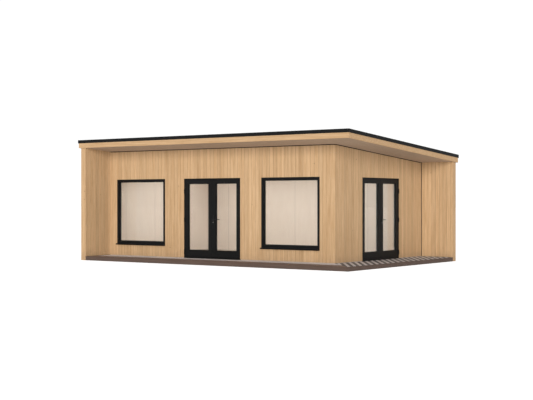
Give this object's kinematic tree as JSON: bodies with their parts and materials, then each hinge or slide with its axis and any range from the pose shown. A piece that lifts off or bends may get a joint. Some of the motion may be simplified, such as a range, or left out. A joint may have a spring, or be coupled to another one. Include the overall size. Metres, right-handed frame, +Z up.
{
  "type": "garden office pod",
  "caption": "Timber-clad garden office room under a single-pitch roof, with a covered L-shaped deck, picture windows and two pairs of glazed doors that open outwards.",
  "frame": {"origin": "centre of the footprint, on the ground", "axes": "+X to the right along the front, +Y from the front to the back, +Z up"},
  "size_m": [8.56, 5.56, 3.236],
  "materials": {
    "cladding": "oiled softwood boards",
    "trim_boards": "oiled planed boards",
    "frame_timber": "sawn structural timber",
    "lining": "matt wall panels",
    "floor_boards": "satin floor boards",
    "deck_boards": "brushed composite boards",
    "deck_edge": "brushed composite boards",
    "soffit": "stained boards",
    "membrane": "matt rubber sheet",
    "black_metal": "satin powder coat",
    "black_frames": "satin powder coat",
    "handle_metal": "satin black",
    "glass": "clear sealed units"
  },
  "bodies": {
    "root": {"base_cassette": "frame_timber", "floor_boards": "floor_boards", "decking": "deck_boards", "deck_frame": "frame_timber", "deck_skirt": "deck_edge", "front_wall_left": "lining", "front_wall_right": "lining", "front_wall_header": "lining", "side_wall_front": "lining", "side_wall_rear": "lining", "side_wall_header": "lining", "back_wall": "lining", "left_wall": "lining", "left_fin": "frame_timber", "right_fin": "frame_timber", "front_cladding": "cladding", "side_cladding": "cladding", "back_cladding": "cladding", "left_cladding": "cladding", "fin_cladding": "cladding", "corner_boards": "trim_boards", "roof_panel": "lining", "roof_membrane": "membrane", "soffit": "soffit", "fascia_boards": "trim_boards", "roof_trim": "black_metal", "window_left_frame": "black_frames", "window_left_glass": "glass", "window_right_frame": "black_frames", "window_right_glass": "glass", "window_sills": "black_metal", "front_door_frame": "black_frames", "side_door_frame": "black_frames", "front_door_hinges": "black_metal", "side_door_hinges": "black_metal"},
    "front_left_leaf": {"front_door_left_leaf": "black_frames", "front_door_left_glass": "glass"},
    "front_right_leaf": {"front_door_right_leaf": "black_frames", "front_door_right_glass": "glass", "front_door_handle": "handle_metal"},
    "side_left_leaf": {"side_door_left_leaf": "black_frames", "side_door_left_glass": "glass"},
    "side_right_leaf": {"side_door_right_leaf": "black_frames", "side_door_right_glass": "glass", "side_door_handle": "handle_metal"}
  },
  "joints": [
    {"name": "front_left_door", "type": "hinge", "parent": "root", "child": "front_left_leaf", "pos_m": [-1.372, -1.7905, 1.1], "axis": [0, 0, -1], "range_deg": [0, 100]},
    {"name": "front_right_door", "type": "hinge", "parent": "root", "child": "front_right_leaf", "pos_m": [0.432, -1.7905, 1.1], "axis": [0, 0, 1], "range_deg": [0, 100]},
    {"name": "side_left_door", "type": "hinge", "parent": "root", "child": "side_left_leaf", "pos_m": [3.2905, -0.497, 1.1], "axis": [0, 0, -1], "range_deg": [0, 100]},
    {"name": "side_right_door", "type": "hinge", "parent": "root", "child": "side_right_leaf", "pos_m": [3.2905, 1.307, 1.1], "axis": [0, 0, 1], "range_deg": [0, 100]}
  ]
}
